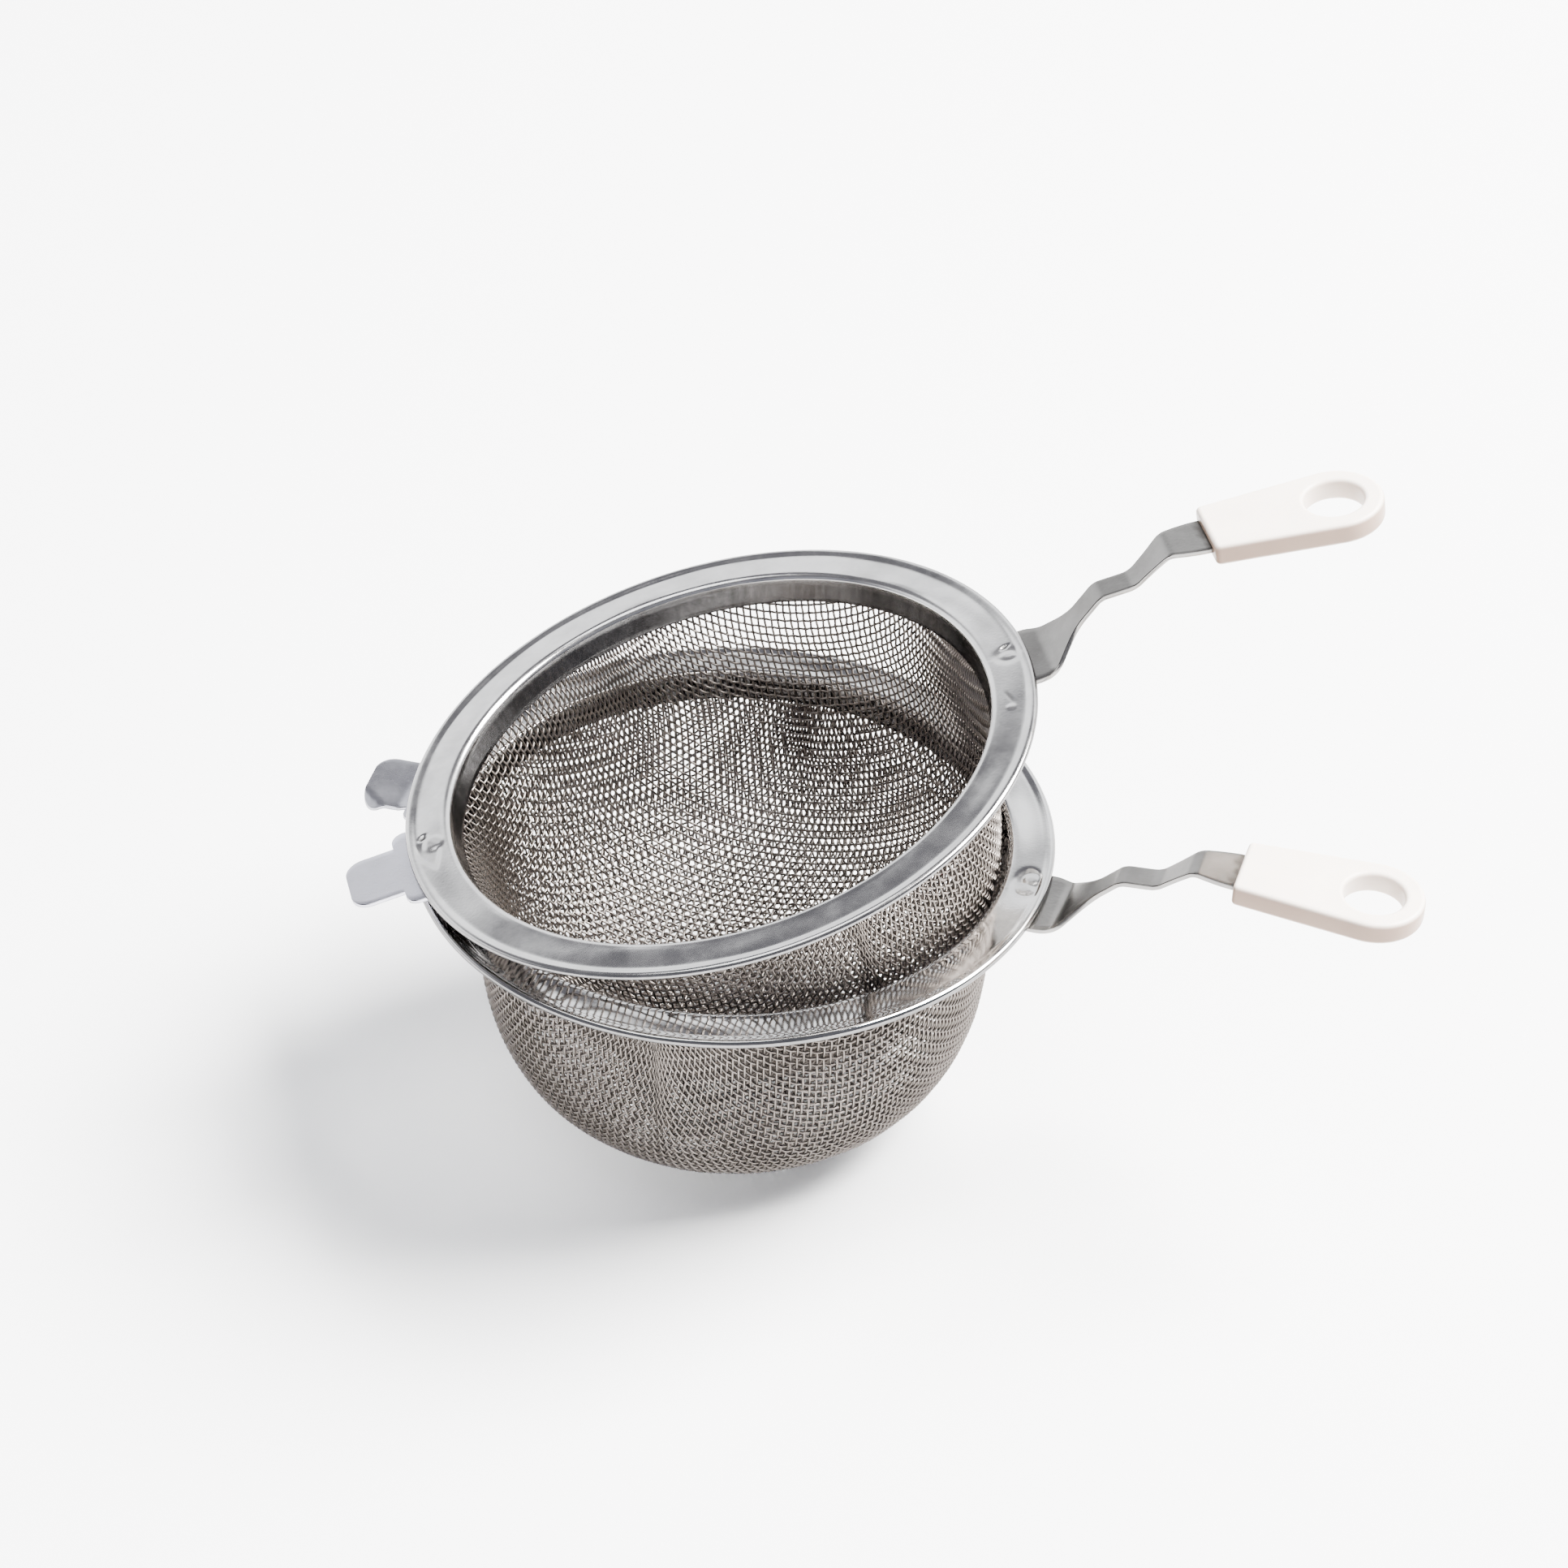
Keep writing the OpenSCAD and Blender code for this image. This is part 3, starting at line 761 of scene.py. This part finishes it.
def ramp_node(nt, source, *stops):
    """The source turned into a colour, through stops of (position, colour)."""
    ramp = nt.nodes.new("ShaderNodeValToRGB")
    el = ramp.color_ramp.elements
    while len(el) > 1:
        el.remove(el[-1])
    el[0].position, el[0].color = stops[0][0], (*stops[0][1], 1)
    for pos, col in stops[1:]:
        e = el.new(pos)
        e.color = (*col, 1)
    nt.links.new(source, ramp.inputs["Fac"])
    return ramp.outputs["Color"]


def times(colour, factor):
    return tuple(factor * v for v in colour)


def bump_node(nt, bsdf, height, distance):
    bump = nt.nodes.new("ShaderNodeBump")
    bump.inputs["Distance"].default_value = distance
    bump.inputs["Strength"].default_value = 1.0
    nt.links.new(height, bump.inputs["Height"])
    nt.links.new(bump.outputs["Normal"], bsdf.inputs["Normal"])


def mix_by(nt, name, colour, other, target):
    """Sends target the colour, turning to the other where the mesh's number of that name is 1."""
    shade = nt.nodes.new("ShaderNodeAttribute")
    shade.attribute_name = name
    mix = nt.nodes.new("ShaderNodeMix")
    mix.data_type = "RGBA"
    nt.links.new(shade.outputs["Fac"], mix.inputs["Factor"])
    nt.links.new(colour, mix.inputs["A"])
    nt.links.new(other, mix.inputs["B"])
    nt.links.new(mix.outputs["Result"], target)


def steel_material(name, light, dark, deep, rough_low, rough_high, grain):
    """Pressed steel: cloudy smudges in colour and gloss, and a fine grain.

    Where the mesh's shade number is set the colour turns to deep, with drawn streaks: painted shade on the collar,
    the bead, the strips' edges and the lower tab, real stains at the weld marks, and a darkening at the grip's
    mouth; the matte parts turn dull.
    """
    mat, nt, bsdf = new_material(name)
    bsdf.inputs["Metallic"].default_value = 1.0
    bsdf.inputs["Specular Tint"].default_value = EDGE_TINT
    cloud = noise_node(nt, 55.0, 5.0, 0.6)
    colour = ramp_node(nt, cloud, (0.30, dark), (0.62, light))
    streaks = noise_node(nt, 700.0, 3.0, 0.6, (1, 1, 0.04))
    drawn = ramp_node(nt, streaks, (0.3, times(deep, 0.75)), (0.7, times(deep, 1.3)))
    mix_by(nt, "shade", colour, drawn, bsdf.inputs["Base Color"])
    smear = noise_node(nt, 120.0, 4.0, 0.65)
    rough = ramp_node(nt, smear, (0.3, (rough_low,) * 3), (0.7, (rough_high,) * 3))
    dull = ramp_node(nt, smear, (0.3, (0.22,) * 3), (0.7, (0.32,) * 3))
    mix_by(nt, "matte", rough, dull, bsdf.inputs["Roughness"])
    bump_node(nt, bsdf, noise_node(nt, 1500.0, 2.0, 0.5), grain)
    return mat


def wire_material(name, light, dark, roughness):
    """Plain steel of two mottled colours, with painted shade where the mesh's shade number is set, along the
    creases.
    """
    mat, nt, bsdf = new_material(name)
    bsdf.inputs["Metallic"].default_value = 1.0
    bsdf.inputs["Specular Tint"].default_value = EDGE_TINT
    bsdf.inputs["Roughness"].default_value = roughness
    cloud = noise_node(nt, 60.0, 4.0, 0.6)
    colour = ramp_node(nt, cloud, (0.3, dark), (0.7, light))
    # painted shade: a darker copy of the wire's colour for the creases
    crease_shade = ramp_node(nt, cloud, (0.3, times(dark, 0.25)), (0.7, times(dark, 0.45)))
    mix_by(nt, "shade", colour, crease_shade, bsdf.inputs["Base Color"])
    return mat


def grip_material(name):
    """Ivory plastic, with painted shade in warm brown on its sides, a little light inside it and faint sink marks.
    """
    mat, nt, bsdf = new_material(name)
    bsdf.inputs["Roughness"].default_value = 0.34
    bsdf.inputs["Subsurface Weight"].default_value = 0.15
    bsdf.inputs["Specular IOR Level"].default_value = 0.35
    bsdf.inputs["Subsurface Radius"].default_value = (1.0, 0.55, 0.4)
    bsdf.inputs["Subsurface Scale"].default_value = 0.002
    cloud = noise_node(nt, 90.0, 3.0, 0.5)
    colour = ramp_node(nt, cloud, (0.3, (0.80, 0.715, 0.635)), (0.7, (0.86, 0.775, 0.695)))
    # painted shade for the sides, in warm brown
    edge = ramp_node(nt, cloud, (0.3, (0.240, 0.160, 0.115)), (0.7, (0.290, 0.196, 0.143)))
    mix_by(nt, "shade", colour, edge, bsdf.inputs["Base Color"])
    bump_node(nt, bsdf, noise_node(nt, 220.0, 2.0, 0.5), 0.00004)
    return mat


def floor_material():
    mat, nt, bsdf = new_material("floor")
    bsdf.inputs["Base Color"].default_value = (0.87, 0.875, 0.885, 1)
    bsdf.inputs["Roughness"].default_value = 0.7
    bsdf.inputs["Specular IOR Level"].default_value = 0.15
    return mat


# ---------------------------------------------------------------- floor and light
def make_stage():
    corners = [(x * FLOOR_HALF, y * FLOOR_HALF, 0) for x, y in ((-1, -1), (1, -1), (1, 1), (-1, 1))]
    floor = mesh_object("floor", corners, [(0, 1, 2, 3)], False)
    floor.data.materials.append(floor_material())


def area_light(name, at, aim, size, power, colour):
    light = bpy.data.lights.new(name, "AREA")
    light.shape, light.size, light.size_y = "RECTANGLE", size, size
    light.energy, light.color = power, colour
    obj = bpy.data.objects.new(name, light)
    obj.location = at
    obj.rotation_euler = (Vector(aim) - Vector(at)).to_track_quat("-Z", "Y").to_euler()
    bpy.context.scene.collection.objects.link(obj)


def make_lights():
    """A dim studio with a pale far wall, a soft light from the right and a weaker one overhead."""
    world = bpy.data.worlds.new("studio")
    bpy.context.scene.world = world
    world.use_nodes = True
    nt = world.node_tree
    turn = Matrix.Rotation(VIEW_TURN, 3, "Z")
    coord = nt.nodes.new("ShaderNodeTexCoord")

    def along(direction, *stops):
        """A colour that changes along a direction, from 0 at its back to 1 at its front."""
        dot = nt.nodes.new("ShaderNodeVectorMath")
        dot.operation = "DOT_PRODUCT"
        dot.inputs[1].default_value = direction
        nt.links.new(coord.outputs["Generated"], dot.inputs[0])
        half = nt.nodes.new("ShaderNodeMath")
        half.operation = "MULTIPLY_ADD"
        half.inputs[1].default_value = half.inputs[2].default_value = 0.5
        nt.links.new(dot.outputs["Value"], half.inputs[0])
        return ramp_node(nt, half.outputs["Value"], *stops)

    # white below the wall's slanting top and black above it
    slant = Vector((0, 0, 1)) - WALL_TILT * (turn @ Vector((1, 0, 0)))
    white, black = (1, 1, 1), (0, 0, 0)
    edge = (WALL_TOP - WALL_SOFT, white), (WALL_TOP + WALL_SOFT, black)
    wall = along(slant, (0.0, white), *edge)
    # the wall is pale on the far side and dim behind the camera
    far = along(turn @ Vector((0, 1, 0)), (0.40, NEAR_LIGHT), (0.62, WALL_LIGHT))
    mix = nt.nodes.new("ShaderNodeMix")
    mix.data_type = "RGBA"
    nt.links.new(wall, mix.inputs["Factor"])
    mix.inputs["A"].default_value = (*CEILING_LIGHT, 1)
    nt.links.new(far, mix.inputs["B"])
    back = nt.nodes["Background"]
    nt.links.new(mix.outputs["Result"], back.inputs["Color"])
    back.inputs["Strength"].default_value = STUDIO_STRENGTH
    area_light("key", turn @ Vector(KEY_AT), KEY_AIM, KEY_SIZE, KEY_POWER, KEY_COLOUR)
    area_light("overhead", turn @ Vector(TOP_AT), TOP_AIM, TOP_SIZE, TOP_POWER, TOP_COLOUR)


# ---------------------------------------------------------------- build
make_camera()
# each steel: its light, dark and deep colours (deep for painted shade and stains), its least and most roughness,
# the depth of its grain
mirror = steel_material(
    "polished_steel", (0.60, 0.592, 0.583), (0.42, 0.414, 0.41), (0.07, 0.068, 0.067), 0.045, 0.13, 3e-6
)
bright = steel_material(
    "pressed_steel", (0.58, 0.571, 0.562), (0.41, 0.403, 0.398), (0.105, 0.102, 0.101), 0.13, 0.24, 7e-6
)
satin = steel_material(
    "satin_steel", (0.213, 0.206, 0.198), (0.143, 0.137, 0.131), (0.05, 0.045, 0.04), 0.16, 0.28, 8e-6
)
plate = steel_material(
    "tab_steel", (0.59, 0.585, 0.645), (0.48, 0.475, 0.52), (0.16, 0.16, 0.165), 0.24, 0.32, 8e-6
)
wire = wire_material("drawn_wire", (0.172, 0.153, 0.139), (0.115, 0.100, 0.089), 0.31)
weld = wire_material("weld_steel", (0.5, 0.5, 0.52), (0.3, 0.3, 0.32), 0.5)
ivory = grip_material("ivory_plastic")
for sieve in ("lower", "upper"):
    to_row = sieve_matrix(sieve)
    make_rim(sieve, to_row, mirror if sieve == "lower" else bright)
    make_mesh_bowl(sieve, to_row, wire)
    make_strap(sieve, to_row, satin)
    make_tab(sieve, to_row, plate)
    make_grip(sieve, to_row, ivory)
    nuggets = frame["nodes"][sieve + "_spot_welds"]
    nuggets.data.materials.clear()
    nuggets.data.materials.append(weld)
make_stage()
make_lights()
